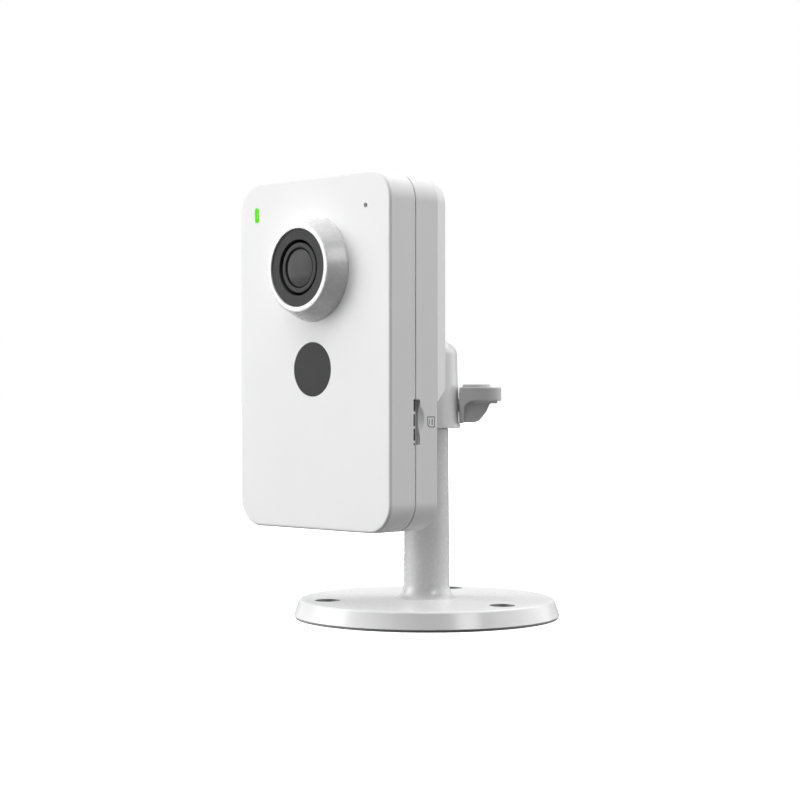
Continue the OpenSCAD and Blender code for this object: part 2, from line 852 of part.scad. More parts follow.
module swivel_collar() {
    color("white") difference() {
        union() {
            rotate_extrude() polygon(concat(
                [[0, collar_bottom_z], [collar_foot_r - 0.3, collar_bottom_z],
                 [collar_foot_r, collar_bottom_z + 0.3], collar_mid, collar_neck],
                [for (a = [0 : 9 : 90]) [collar_neck[0] * cos(a), dome_z + dome_h * sin(a)]]));
            for (s = [-1, 1]) collar_ear(s);
        }
        translate([0, 0, collar_bottom_z - 1])
            cylinder(r = spigot_r + running_gap, h = spigot_top_z + 0.4 - collar_bottom_z + 1);
        hinge_bar(hinge_bolt_r + 0.02, -20, 20);
        radial() {
            translate([0, 0, lever_seat_u]) cylinder(r = flange_r + 0.3, h = 5);
            translate([0, 0, spigot_r - 1]) cylinder(r = insert_r + 0.02, h = insert_u[1] - spigot_r + 1);
            cylinder(r = clamp_screw_r + 0.2, h = 20);
        }
    }
}

// Ear of the tilt hinge on side s, running back into the collar
module collar_ear(s) {
    root_y = -4;
    low_x = min(s * ear_inner_x, s * ear_outer_x);
    high_x = max(s * ear_inner_x, s * ear_outer_x);
    hinge_bar(ear_r, low_x, high_x);
    box([low_x, hinge_y, hinge_z - ear_r], [high_x, root_y, hinge_z + ear_r]);
}

// Local +Z runs outward along the clamp screw, local +X points up
module radial() {
    rotate([0, 0, lever_turn]) translate([0, 0, lever_z]) rotate([0, 90, 0])
        rotate([0, 0, 180]) children();
}

// Brass bush pressed in from the bore
module threaded_insert() {
    color("goldenrod") radial() difference() {
        translate([0, 0, insert_u[0]]) cylinder(r = insert_r, h = insert_u[1] - insert_u[0]);
        translate([0, 0, insert_u[0] - 1]) cylinder(r = clamp_screw_r + 0.05, h = 10);
    }
}

module clamp_screw() {
    color("silver") radial() translate([0, 0, screw_u[0]])
        cylinder(r = clamp_screw_r, h = screw_u[1] - screw_u[0]);
}

// Nylon pad that the clamp screw pushes into the spigot's groove
module brake_pad() {
    pad_u = [groove_r + 0.1, 6.6];
    color("ivory") radial() translate([0, 0, pad_u[0]]) cylinder(r = 1.9, h = pad_u[1] - pad_u[0]);
}

// Thumb plate seen from its top face: straight sides and a round end
module thumb_outline(half_w, from_u, centre_u) {
    translate([from_u, -half_w]) square([centre_u - from_u, 2 * half_w]);
    translate([centre_u, 0]) circle(r = half_w);
}

// Outlines seen from the side, as [distance, height above the clamp screw]
module limb_outline(root_u, foot, top) {
    polygon([[root_u, top], [root_u, foot], [10.9, foot], [11.05, -3.6], [11.3, -2.5],
             [11.6, -1.6], [12, -0.6], [12.6, 0.3], [13.4, 0.9], [14.4, 1.3], [14.4, top]]);
}

module rib_outline(root_u, top) {
    polygon([[root_u, top], [root_u, -5.2], [11.6, -5.2], [13.2, -5.15], [14.6, -5], [15.6, -4.7],
             [16.4, -4.2], [17, -3.6], [17.4, -3], [17.8, -2], [18.2, -1.1], [18.7, -0.3],
             [19.3, 0.3], [20, 0.7], [20, top]]);
}

// Upright slice of the lever, half_w to each side of its middle
module lever_slice(half_w) {
    translate([0, half_w, 0]) rotate([90, 0, 0]) linear_extrude(2 * half_w) children();
}

module clamp_lever() {
    plate = [1.4, 5.5];
    plate_half_w = 5.4;
    plate_start_u = 10.4;
    plate_end_u = 17.4;
    pad_h = 0.85;
    pad_r = 4.3;
    pad_u = 15.2;
    flange_u = [lever_seat_u + 0.3, 11];
    limb_u = 10.65;
    limb_corner_r = 6.9;
    rib_half_w = 2.6;
    root_u = flange_u[1] - hair;
    color("gainsboro") difference() {
        union() {
            radial() translate([0, 0, flange_u[0]])
                cylinder(r = flange_r, h = flange_u[1] - flange_u[0]);
            rotate([0, 0, lever_turn]) translate([0, 0, lever_z]) {
                translate([0, 0, plate[0]]) linear_extrude(plate[1] - plate[0])
                    thumb_outline(plate_half_w, plate_start_u, plate_end_u);
                translate([plate_end_u, 0, plate[0] - pad_h]) cylinder(r = pad_r, h = pad_h + hair);
                translate([pad_u, 0, plate[1] - hair]) cylinder(r = pad_r, h = pad_h + hair);
                intersection() {
                    lever_slice(plate_half_w) limb_outline(limb_u, -flange_r, plate[0] + hair);
                    rotate([0, 90, 0]) cylinder(r = limb_corner_r, h = plate_end_u);
                }
                lever_slice(rib_half_w) rib_outline(root_u, plate[0] + hair);
            }
        }
        radial() translate([0, 0, screw_u[0]]) cylinder(r = clamp_screw_r, h = screw_u[1] - screw_u[0]);
    }
}

// ---------- stand ----------

module pole() {
    flare_w = 2.3;
    flare_h = 4.2;
    color("white") difference() {
        turned(concat([[0, stub_z], [stub_r, stub_z], [stub_r, base_top_z]],
            [for (a = [0 : 10 : 90]) [pole_foot_r + flare_w * (1 - sin(a)),
                                      base_top_z + flare_h * (1 - cos(a))]],
            [[pole_top_r, shoulder_z - 0.3], [pole_top_r - 0.3, shoulder_z],
             [spigot_r, shoulder_z], [spigot_r, lever_z - groove_half_h],
             [groove_r, lever_z - groove_half_h], [groove_r, lever_z + groove_half_h],
             [spigot_r, lever_z + groove_half_h], [spigot_r, spigot_top_z],
             [0, spigot_top_z]]));
        translate([0, 0, stub_z - 1]) cylinder(r = pole_screw_r + 0.02, h = 14);
    }
}

module pole_screw() {
    head_z = 0.9;
    neck_z = 3.1;
    tip_z = 15.1;
    color("silver") difference() {
        union() {
            translate([0, 0, neck_z]) cylinder(r = pole_screw_r, h = tip_z - neck_z);
            translate([0, 0, head_z]) cylinder(r1 = 3.9, r2 = pole_screw_r, h = neck_z - head_z + hair);
        }
        for (turn = [0, 90]) translate([0, 0, head_z]) rotate([0, 0, turn])
            cube([4, 0.9, 2], center = true);
    }
}

// Places children at the three screw holes of the base
module at_base_holes() {
    for (k = [0 : 2]) rotate([0, 0, 120 * k]) translate([base_hole_circle_r, 0, 0]) children();
}

module base_plate() {
    cavity_z = 4.4;
    head_seat_z = 3.4;
    head_bore_r = 3.85;
    color("white") difference() {
        turned([[0, base_pad_h], [base_r, base_pad_h], [base_r - 0.5, 3], [base_r - 1.1, 4.7],
                [base_r - 1.5, 5.3], [base_r - 1.9, 5.6], [base_r - 2.5, 5.75], [24, 5.87],
                [9.4, base_top_z], [0, base_top_z]]);
        difference() {
            translate([0, 0, base_pad_h - 1])
                cylinder(r = base_r - base_skirt, h = cavity_z - base_pad_h + 1);
            cylinder(r = base_hub_r, h = cavity_z + 1);
            at_base_holes() cylinder(r = base_boss_r, h = cavity_z + 1);
        }
        at_base_holes() {
            translate([0, 0, -1]) cylinder(r = base_hole_r, h = 12);
            translate([0, 0, head_seat_z]) cylinder(r = head_bore_r, h = 10);
        }
        // Socket for the pole's stub, and the pole screw's countersunk hole under it
        translate([0, 0, stub_z - 0.1]) cylinder(r = stub_r + 0.05, h = 10);
        translate([0, 0, -1]) cylinder(r = pole_screw_r + 0.12, h = 6);
        translate([0, 0, base_pad_h - hair])
            cylinder(r1 = 4.3, r2 = pole_screw_r + 0.12, h = stub_z - base_pad_h);
    }
}

module base_weight() {
    color("gray") difference() {
        translate([0, 0, base_pad_h + 0.1])
            cylinder(r = base_r - base_skirt - weight_gap, h = 3.5);
        translate([0, 0, -1]) cylinder(r = base_hub_r + weight_gap, h = 8);
        at_base_holes() translate([0, 0, -1]) cylinder(r = base_boss_r + weight_gap, h = 8);
    }
}

module base_pad() {
    color("black") difference() {
        cylinder(r = base_r - 0.55, h = base_pad_h);
        at_base_holes() translate([0, 0, -1]) cylinder(r = base_hole_r, h = 3);
    }
}

front_housing();
rear_housing();
lens_bezel();
lens_trim_ring();
lens_barrel();
lens_retainer();
front_lens();
middle_lens();
rear_lens();
lens_holder();
filter_slider();
day_filter();
night_glass();
filter_coil();
image_sensor();
sensor_board();
front_board();
main_board();
processor();
memory_chips();
thermal_pad();
heat_spreader();
wifi_module();
antenna();
ribbon_cable();
board_connectors();
card_socket();
card_slot_liner();
power_inlet();
reset_button();
reset_switch();
speaker();
microphone();
mic_boot();
status_led();
light_pipe();
ir_window();
ir_leds();
light_sensor();
board_screws();
front_board_screws();
housing_screws();
tilt_bracket();
bracket_screws();
hinge_bolt();
hinge_nut();
friction_washers();
swivel_collar();
threaded_insert();
clamp_lever();
clamp_screw();
brake_pad();
pole();
pole_screw();
base_plate();
base_weight();
base_pad();
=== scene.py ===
import json
import math

import bmesh
import bpy
from mathutils import Matrix, Vector


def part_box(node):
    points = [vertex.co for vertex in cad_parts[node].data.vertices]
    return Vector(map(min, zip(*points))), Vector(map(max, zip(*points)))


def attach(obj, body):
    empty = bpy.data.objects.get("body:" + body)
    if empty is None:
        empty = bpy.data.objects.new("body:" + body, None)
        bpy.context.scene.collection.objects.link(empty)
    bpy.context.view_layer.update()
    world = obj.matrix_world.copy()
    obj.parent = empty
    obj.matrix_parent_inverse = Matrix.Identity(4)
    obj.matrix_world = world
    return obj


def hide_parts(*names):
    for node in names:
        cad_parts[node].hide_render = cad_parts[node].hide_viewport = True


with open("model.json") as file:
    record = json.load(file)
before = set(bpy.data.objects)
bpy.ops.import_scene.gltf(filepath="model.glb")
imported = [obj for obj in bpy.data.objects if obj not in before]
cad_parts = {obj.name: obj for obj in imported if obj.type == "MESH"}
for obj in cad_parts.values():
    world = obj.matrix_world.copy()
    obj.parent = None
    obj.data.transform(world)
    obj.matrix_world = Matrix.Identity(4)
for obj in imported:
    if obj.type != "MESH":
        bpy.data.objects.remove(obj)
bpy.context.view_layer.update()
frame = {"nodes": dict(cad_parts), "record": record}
NODES = frame["nodes"]
MM = 0.001


# ---------- places in millimetres: the housing and part centres read from the frame, the rest given ---

def box_mm(node):
    """Lowest and highest corner of a CAD node, in millimetres."""
    low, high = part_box(node)
    return low / MM, high / MM


def middle(node):
    """Centre of a CAD node, in millimetres."""
    low, high = box_mm(node)
    return (low + high) / 2


FRONT_LOW, FRONT_HIGH = box_mm("front_housing")
REAR_LOW, REAR_HIGH = box_mm("rear_housing")
HEAD_W = FRONT_HIGH.x - FRONT_LOW.x
HEAD_H = FRONT_HIGH.z - FRONT_LOW.z
HEAD_MID_Z = (FRONT_HIGH.z + FRONT_LOW.z) / 2
FRONT_Y = FRONT_LOW.y
FRONT_RIM_Y = FRONT_HIGH.y
REAR_RIM_Y = FRONT_RIM_Y + 0.4
UPPER_BACK_Y = REAR_HIGH.y
LOWER_BACK_Y = UPPER_BACK_Y - 5.3
CORNER_R = 8.5
WALL = 2.0
LENS_Z = middle("lens_bezel").z
BEZEL_FRONT_Y = box_mm("lens_bezel")[0].y
WINDOW_Z = middle("ir_window").z
LIGHT = middle("status_led")
MIC = middle("microphone")
RESET = middle("reset_button")
INLET = middle("power_inlet")
SPEAKER = middle("speaker")
HINGE = Vector((0.0, -16.4, 76.0))
LEVER_TURN = math.radians(45)
LEVER_Z = 64.6
STEP_LOW, STEP_HIGH = 65.8, 69.5
CARD_NOTCHES = ((53.6, 54.2), (54.85, 58.25), (58.9, 62.35), (63.05, 66.45))
CARD_SLOT_Z = (53.6, 66.45)
SCOOP_Z = 60.6
MARK_Y, MARK_Z = -31.05, 60.05

# The stand, the collar and the clamp lever
BASE_RIM_R = 40.55
BASE_HOLE_COUNT, BASE_HOLE_CIRCLE_R = 3, 31
BASE_HOLE_R, BASE_SINK_R, BASE_SINK_Z = 2.1, 3.85, 3.4
POLE_SHOULDER_Z, SPIGOT_R, SPIGOT_TOP_Z = 57.6, 5.6, 79.0
GROOVE_R, GROOVE_LOW_Z, GROOVE_HIGH_Z = 5.2, 62.5, 66.7
COLLAR_BORE_R, COLLAR_BORE_TOP_Z = 5.65, 79.4
COLLAR_FOOT_R, COLLAR_TOP_R = 10.3, 9.3
DOME_Z, DOME_RISE = 80, 5.2
EAR_R, EAR_INNER_X, EAR_OUTER_X = 4.4, 4.2, 7.2
LEVER_HALF_W = 5.4
LEVER_PLATE_LOW, LEVER_PLATE_HIGH = 1.4, 5.5
LEVER_TIP_U = 17.4


# ---------- outlines ----------

def arc(centre, radius, start, end, steps):
    """Points on a round arc; angles in degrees."""
    turns = [math.radians(start + (end - start) * i / steps) for i in range(steps + 1)]
    return [(centre[0] + radius * math.cos(t), centre[1] + radius * math.sin(t)) for t in turns]


def rounded(points, radii, steps=6, closed=False):
    """A path through the points, with corner i rounded to radii[i]."""
    out = []
    count = len(points)
    for i, point in enumerate(points):
        ends = (i in (0, count - 1)) and not closed
        if ends or radii[i] <= 0:
            out.append(tuple(point))
            continue
        here = Vector(point)
        back = (Vector(points[i - 1]) - here).normalized()
        ahead = (Vector(points[(i + 1) % count]) - here).normalized()
        half = back.angle(ahead) / 2
        reach = radii[i] / math.tan(half)
        centre = here + (back + ahead).normalized() * radii[i] / math.sin(half)
        first, last = here + back * reach - centre, here + ahead * reach - centre
        sweep = first.angle_signed(last)
        for k in range(steps + 1):
            turned = first.copy()
            turned.rotate(Matrix.Rotation(-sweep * k / steps, 2))
            out.append(tuple(centre + turned))
    return out


def rounded_rectangle(width, height, radius, steps=20):
    """Outline of a rectangle with round corners, centred on the origin."""
    across, up = width / 2 - radius, height / 2 - radius
    corners = [(across, up, 0), (-across, up, 90), (-across, -up, 180), (across, -up, 270)]
    out = []
    for x, y, start in corners:
        out += arc((x, y), radius, start, start + 90, steps)
    return out


def bar_outline(width, height, steps=12):
    """Outline of an upright bar with round ends."""
    return rounded_rectangle(width, height, width / 2 - 0.001, steps)


# ---------- meshes ----------

def new_object(name, mesh):
    piece = bpy.data.objects.new(name, mesh)
    bpy.context.scene.collection.objects.link(piece)
    return piece


def from_faces(name, points, faces):
    """A mesh object from points in millimetres."""
    mesh = bpy.data.meshes.new(name)
    mesh.from_pydata([Vector(p) * MM for p in points], [], faces)
    build = bmesh.new()
    build.from_mesh(mesh)
    bmesh.ops.remove_doubles(build, verts=build.verts, dist=1e-7)
    bmesh.ops.recalc_face_normals(build, faces=build.faces)
    build.to_mesh(mesh)
    build.free()
    return new_object(name, mesh)


def lofted(name, rings):
    """A closed solid through rings of equal length, capped at both ends."""
    count = len(rings[0])
    points = [p for ring in rings for p in ring]
    faces = []
    for r in range(len(rings) - 1):
        for i in range(count):
            j = (i + 1) % count
            faces.append((r * count + i, r * count + j, (r + 1) * count + j, (r + 1) * count + i))
    faces.append(tuple(range(count)))
    faces.append(tuple(range(len(points) - count, len(points))))
    return from_faces(name, points, faces)


def prism(name, outline, low, high, place):
    """An outline pushed from low to high; place(u, v, w) puts a point in the frame."""
    rings = [[place(u, v, w) for u, v in outline] for w in (low, high)]
    return lofted(name, rings)


def facing_front(u, v, w):
    """Outline upright in the XZ plane, pushed along Y."""
    return (u, w, v)


def lathe(name, section, place, steps=128):
    """A section of (radius, height) points turned about the height axis.

    A section that starts and ends on the axis is a solid; any other is a ring.
    """
    on_axis = section[0][0] < 1e-6 and section[-1][0] < 1e-6
    inner = section[1:-1] if on_axis else section
    points, faces = [], []
    for radius, height in inner:
        for i in range(steps):
            turn = 2 * math.pi * i / steps
            points.append(place(radius * math.cos(turn), radius * math.sin(turn), height))
    rows = len(inner)
    for r in range(rows - 1 if on_axis else rows):
        for i in range(steps):
            j = (i + 1) % steps
            a, b = r * steps, ((r + 1) % rows) * steps
            faces.append((a + i, a + j, b + j, b + i))
    if on_axis:
        points += [place(0, 0, section[0][1]), place(0, 0, section[-1][1])]
        start, end = len(points) - 2, len(points) - 1
        last = (rows - 1) * steps
        for i in range(steps):
            j = (i + 1) % steps
            faces.append((start, j, i))
            faces.append((end, last + i, last + j))
    return from_faces(name, points, faces)


def about_lens(z):
    """Placement whose height axis runs out of the camera's front at height z."""
    return lambda u, v, w: (u, w, z + v)


def about_front(x, z):
    return lambda u, v, w: (x + u, w, z + v)


def upright(u, v, w):
    return (u, v, w)


def cylinder_y(name, x, z, radius, low, high, steps=48):
    section = [(0, low), (radius, low), (radius, high), (0, high)]
    return lathe(name, section, about_front(x, z), steps)


def block(name, low, high):
    """A plain box, used only to cut other pieces or to join into them."""
    outline = [(low[0], low[2]), (high[0], low[2]), (high[0], high[2]), (low[0], high[2])]
    return prism(name, outline, low[1], high[1], facing_front)


def freeze(piece):
    """Applies a piece's modifiers."""
    graph = bpy.context.evaluated_depsgraph_get()
    mesh = bpy.data.meshes.new_from_object(piece.evaluated_get(graph))
    piece.modifiers.clear()
    old = piece.data
    piece.data = mesh
    mesh.name = piece.name
    bpy.data.meshes.remove(old)


def combine(piece, tools, operation="DIFFERENCE"):
    """Cuts the tools from the piece, or joins them to it, and deletes them."""
    for tool in tools:
        step = piece.modifiers.new("combine", "BOOLEAN")
        step.operation = operation
        step.solver = "EXACT"
        step.object = tool
        freeze(piece)
        bpy.data.objects.remove(tool)
    return piece


def smooth(piece, angle=32):
    """Smooth shading, with creases sharper than the angle kept."""
    for face in piece.data.polygons:
        face.use_smooth = True
    piece.data.set_sharp_from_angle(angle=math.radians(angle))


def soften(piece, width, segments=2, angle=40):
    """A small round on every edge sharper than the angle, with flat faces kept flat."""
    step = piece.modifiers.new("edge_round", "BEVEL")
    step.width = width * MM
    step.segments = segments
    step.limit_method = "ANGLE"
    step.angle_limit = math.radians(angle)
    step.harden_normals = False
    keep_flat(piece)


def keep_flat(piece):
    step = piece.modifiers.new("flat_faces", "WEIGHTED_NORMAL")
    step.keep_sharp = True
    step.weight = 90


# ---------- materials ----------

def nodes_of(material):
    material.use_nodes = True
    tree = material.node_tree
    return tree, tree.nodes["Principled BSDF"]


def noise(tree, scale, detail=2.0, stretch=(1, 1, 1)):
    """Noise in the object's own space; scale is in features a metre."""
    coords = tree.nodes.new("ShaderNodeTexCoord")
    mapping = tree.nodes.new("ShaderNodeMapping")
    mapping.inputs["Scale"].default_value = stretch
    texture = tree.nodes.new("ShaderNodeTexNoise")
    texture.inputs["Scale"].default_value = scale
    texture.inputs["Detail"].default_value = detail
    tree.links.new(coords.outputs["Object"], mapping.inputs["Vector"])
    tree.links.new(mapping.outputs["Vector"], texture.inputs["Vector"])
    return texture.outputs["Fac"]


def spread(tree, value, low, high):
    """Maps a noise value onto low to high."""
    step = tree.nodes.new("ShaderNodeMapRange")
    step.inputs["From Min"].default_value = 0.3
    step.inputs["From Max"].default_value = 0.7
    step.inputs["To Min"].default_value = low
    step.inputs["To Max"].default_value = high
    tree.links.new(value, step.inputs["Value"])
    return step.outputs["Result"]


def shades(tree, value, dark, light):
    """A colour that drifts between two shades."""
    mix = tree.nodes.new("ShaderNodeMix")
    mix.data_type = "RGBA"
    mix.inputs["A"].default_value = (*dark, 1)
    mix.inputs["B"].default_value = (*light, 1)
    tree.links.new(value, mix.inputs["Factor"])
    return mix.outputs["Result"]


def bump(tree, shader, height, depth):
    """Relief of the given depth, in millimetres."""
    step = tree.nodes.new("ShaderNodeBump")
    step.inputs["Strength"].default_value = 1.0
    step.inputs["Distance"].default_value = depth * MM
    tree.links.new(height, step.inputs["Height"])
    tree.links.new(step.outputs["Normal"], shader.inputs["Normal"])


def moulded(name, colour, roughness, grain=0.35, relief=0.003, drift=0.015, specular=0.5):
    """Moulded plastic: fine spark-eroded grain, slightly uneven gloss and tone."""
    material = bpy.data.materials.new(name)
    tree, shader = nodes_of(material)
    tone = spread(tree, noise(tree, 45, 3), 0, 1)
    darker = [c * (1 - drift) for c in colour]
    tree.links.new(shades(tree, tone, darker, colour), shader.inputs["Base Color"])
    gloss = spread(tree, noise(tree, 900, 4), roughness - 0.03, roughness + 0.03)
    tree.links.new(gloss, shader.inputs["Roughness"])
    bump(tree, shader, noise(tree, 1 / (grain * MM), 3), relief)
    shader.inputs["Specular IOR Level"].default_value = specular
    return material


def turned_metal(name, colour, roughness):
    """Metal with fine tool marks."""
    material = bpy.data.materials.new(name)
    tree, shader = nodes_of(material)
    tone = spread(tree, noise(tree, 260, 4), 0, 1)
    darker = [c * 0.82 for c in colour]
    tree.links.new(shades(tree, tone, darker, colour), shader.inputs["Base Color"])
    marks = noise(tree, 1400, 3, stretch=(1, 1, 7))
    gloss = spread(tree, marks, roughness - 0.08, roughness + 0.1)
    tree.links.new(gloss, shader.inputs["Roughness"])
    shader.inputs["Metallic"].default_value = 1.0
    bump(tree, shader, marks, 0.004)
    return material


def clear_glass(name, tint, transmission):
    """Tinted clear glass with a faint surface haze."""
    material = bpy.data.materials.new(name)
    tree, shader = nodes_of(material)
    haze = spread(tree, noise(tree, 500, 3), 0, 1)
    tree.links.new(shades(tree, haze, [c * 0.94 for c in tint], tint), shader.inputs["Base Color"])
    gloss = spread(tree, noise(tree, 1500, 2), 0.03, 0.06)
    tree.links.new(gloss, shader.inputs["Roughness"])
    shader.inputs["Transmission Weight"].default_value = transmission
    shader.inputs["IOR"].default_value = 1.5
    shader.inputs["Coat Weight"].default_value = 0.6
    shader.inputs["Coat Roughness"].default_value = 0.02
    return material


def coated_glass(name):
    """Dark lens with a matt-looking anti-reflection coat and a faint inner haze."""
    material = bpy.data.materials.new(name)
    tree, shader = nodes_of(material)
    haze = spread(tree, noise(tree, 240, 2), 0, 1)
    tone = shades(tree, haze, (0.08, 0.08, 0.082), (0.09, 0.09, 0.092))
    tree.links.new(tone, shader.inputs["Base Color"])
    tree.links.new(spread(tree, noise(tree, 1500, 2), 0.1, 0.13), shader.inputs["Roughness"])
    shader.inputs["Specular IOR Level"].default_value = 0.03
    return material


def lit_green(name):
    """Light pipe glowing green, its glow and colour drifting a little at random."""
    material = bpy.data.materials.new(name)
    tree, shader = nodes_of(material)
    tone = spread(tree, noise(tree, 700, 2), 0, 1)
    body = shades(tree, tone, (0.02, 0.25, 0.002), (0.03, 0.3, 0.004))
    glow = shades(tree, tone, (0.1, 0.72, 0.004), (0.14, 0.85, 0.008))
    tree.links.new(body, shader.inputs["Base Color"])
    tree.links.new(glow, shader.inputs["Emission Color"])
    shader.inputs["Emission Strength"].default_value = 0.8
    shader.inputs["Roughness"].default_value = 0.4
    shader.inputs["Specular IOR Level"].default_value = 0.02
    bump(tree, shader, noise(tree, 3000, 2), 0.004)
    return material


def circuit_board(name):
    """Solder mask with darker runs of track."""
    material = bpy.data.materials.new(name)
    tree, shader = nodes_of(material)
    runs = noise(tree, 700, 1, stretch=(1, 1, 0.15))
    edge = tree.nodes.new("ShaderNodeValToRGB")
    edge.color_ramp.elements[0].position = 0.5
    edge.color_ramp.elements[0].color = (0.012, 0.11, 0.05, 1)
    edge.color_ramp.elements[1].position = 0.53
    edge.color_ramp.elements[1].color = (0.02, 0.19, 0.085, 1)
    tree.links.new(runs, edge.inputs["Fac"])
    tree.links.new(edge.outputs["Color"], shader.inputs["Base Color"])
    shader.inputs["Roughness"].default_value = 0.32
    bump(tree, shader, runs, 0.02)
    return material


SLOTS = {
    "white_housing": moulded("white_housing", (0.86, 0.86, 0.862), 0.48, specular=0.4),
    # Painted shade: the stand's white is set darker than the housing's, standing in for shade on the
    # pole and collar.
    "white_stand": moulded("white_stand", (0.74, 0.74, 0.742), 0.24, relief=0.0006),
    # Painted shade: the lever's darker grey-white stands in for the shade on its sides beside the
    # collar.
    "lever_plastic": moulded("lever_plastic", (0.58, 0.58, 0.582), 0.35),
    "lens_trim": moulded("lens_trim", (0.046, 0.046, 0.047), 0.6,
                         grain=0.25, drift=0.08, specular=0.2),
    "lens_black": moulded("lens_black", (0.056, 0.056, 0.057), 0.6,
                          grain=0.15, drift=0.08, specular=0.2),
    "ring_black": moulded("ring_black", (0.002, 0.002, 0.002), 0.7, drift=0.2, specular=0.1),
    "lens_glass": coated_glass("lens_glass"),
    "filter_glass": clear_glass("filter_glass", (0.6, 0.2, 0.25), 0.7),
    "ir_acrylic": moulded("ir_acrylic", (0.046, 0.046, 0.0465), 0.45,
                          relief=0.001, drift=0.06, specular=0.1),
    "light_green": lit_green("light_green"),
    # Painted light: the black rubber is given a mid grey, standing in for light on the pad's edge in
    # the shade under the base.
    "rubber_black": moulded("rubber_black", (0.4, 0.4, 0.4), 0.7,
                            grain=0.5, relief=0.01, drift=0.15),
    "board_green": circuit_board("board_green"),
    "chip_black": moulded("chip_black", (0.03, 0.03, 0.031), 0.5, drift=0.15),
    "connector_ivory": moulded("connector_ivory", (0.75, 0.72, 0.62), 0.45),
    "thermal_blue": moulded("thermal_blue", (0.3, 0.45, 0.6), 0.6, drift=0.1),
    "sheet_metal": turned_metal("sheet_metal", (0.62, 0.62, 0.63), 0.35),
    "copper_film": moulded("copper_film", (0.55, 0.26, 0.06), 0.35, drift=0.12),
    "black_plastic": moulded("black_plastic", (0.006, 0.006, 0.006), 0.6, drift=0.12, specular=0.2),
    "button_grey": moulded("button_grey", (0.16, 0.16, 0.163), 0.5),
    "screw_steel": turned_metal("screw_steel", (0.56, 0.56, 0.57), 0.3),
    "nylon_washer": moulded("nylon_washer", (0.12, 0.12, 0.12), 0.5, drift=0.1),
    "brass": turned_metal("brass", (0.72, 0.52, 0.2), 0.3),
    "weight_steel": turned_metal("weight_steel", (0.3, 0.3, 0.31), 0.5),
}


def place_piece(piece, slot, body, *nodes, finish=None):
    """Gives a piece its material, its body and the CAD nodes that it stands for."""
    piece.data.materials.clear()
    piece.data.materials.append(finish or SLOTS[slot])
    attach(piece, body)
    if nodes:
        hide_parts(*nodes)


def dress_cad_nodes():
    """Procedural materials and softened edges for the CAD nodes that stay."""
    slots = {s["node"]: s["material_slot"] for s in frame["record"]["subparts"]}
    for name, piece in NODES.items():
        piece.data.materials.clear()
        piece.data.materials.append(SLOTS[slots[name]])
        weld = piece.modifiers.new("join_points", "WELD")
        weld.merge_threshold = 1e-6
        smooth(piece)
        if name in ("tilt_bracket", "hinge_bolt", "hinge_nut", "housing_screws", "bracket_screws"):
            soften(piece, 0.15, 2, 50)


# ---------- camera head ----------

def head_ring(inset, y):
    """The head's outline at a depth, drawn in from its side walls."""
    outline = rounded_rectangle(HEAD_W - 2 * inset, HEAD_H - 2 * inset, CORNER_R - inset)
    return [(u, y, HEAD_MID_Z + v) for u, v in outline]


def head_loft(name, path):
    return lofted(name, [head_ring(inset, y) for inset, y in path])


def front_shell():
    """Front housing with its lens, window, light and microphone holes and the card notches."""
    inner_y = FRONT_Y + WALL
    path = [(WALL, inner_y), (WALL, FRONT_RIM_Y), (0, FRONT_RIM_Y), (0, FRONT_Y), (1.6, FRONT_Y)]
    path = rounded(path, [0, 0.1, 0.1, 0.8, 0], steps=6)
    shell = head_loft("front_shell", path)
    tools = [
        cylinder_y("cut", 0, LENS_Z, 12.45, FRONT_Y - 1, inner_y + 1, 96),
        cylinder_y("cut", 0, WINDOW_Z, 7.88, FRONT_Y - 1, inner_y + 1, 96),
        cylinder_y("cut", MIC.x, MIC.z, 0.72, FRONT_Y - 1, inner_y + 1, 32),
        prism("cut", bar_outline(1.86, 4.56), FRONT_Y - 1, inner_y + 1,
              lambda u, v, w: (LIGHT.x + u, w, LIGHT.z + v)),
    ]
    for low, high in CARD_NOTCHES:
        tools.append(block("cut", (HEAD_W / 2 - 3, FRONT_RIM_Y - 0.62, low),
                           (HEAD_W / 2 + 1, FRONT_RIM_Y + 1, high)))
    combine(shell, tools)
    smooth(shell)
    soften(shell, 0.08, 2, 50)
    place_piece(shell, "white_housing", "head", "front_housing")


def raised_back():
    """The tapering upper back, cut to a rounded slope at its lower end."""
    taper = 2.0
    path = [(0, LOWER_BACK_Y - 2), (0, LOWER_BACK_Y), (taper, UPPER_BACK_Y),
            (taper + 2, UPPER_BACK_Y)]
    back = head_loft("raised_back", rounded(path, [0, 0.8, 0.5, 0], steps=5))
    low = STEP_LOW - 60
    outline = [(LOWER_BACK_Y - 6, low), (LOWER_BACK_Y - 6, STEP_LOW), (LOWER_BACK_Y, STEP_LOW),
               (UPPER_BACK_Y, STEP_HIGH), (UPPER_BACK_Y, STEP_HIGH + 6)]
    outline = rounded(outline, [0, 0, 0.6, 2.4, 0], steps=6)
    # Leave the tangent point of the last round, then step clear of the back
    outline = outline[:-1] + [(UPPER_BACK_Y + 6, outline[-2][1]), (UPPER_BACK_Y + 6, low)]
    return combine(back, [prism("cut", outline, -HEAD_W, HEAD_W, lambda u, v, w: (w, u, v))])


def rear_shell():
    """Rear housing: a hollow shell with the raised back, the card recess and the openings."""
    path = [(WALL + 4, REAR_RIM_Y), (0, REAR_RIM_Y), (0, LOWER_BACK_Y), (2, LOWER_BACK_Y)]
    shell = head_loft("rear_shell", rounded(path, [0, 0.1, 0.6, 0], steps=5))
    combine(shell, [raised_back()], "UNION")
    hollow = head_loft("cut", [(WALL, REAR_RIM_Y - 1), (WALL, LOWER_BACK_Y - WALL)])
    upper = rounded_rectangle(HEAD_W - 8, 55, 7)
    upper_mid = FRONT_HIGH.z - 4 - 27.5
    tools = [hollow, prism("cut", upper, LOWER_BACK_Y - 4, UPPER_BACK_Y - WALL,
                           lambda u, v, w: (u, w, upper_mid + v))]
    combine(shell, tools + card_recess() + back_openings())
    smooth(shell)
    soften(shell, 0.1, 2, 50)
    place_piece(shell, "white_housing", "head", "rear_housing")


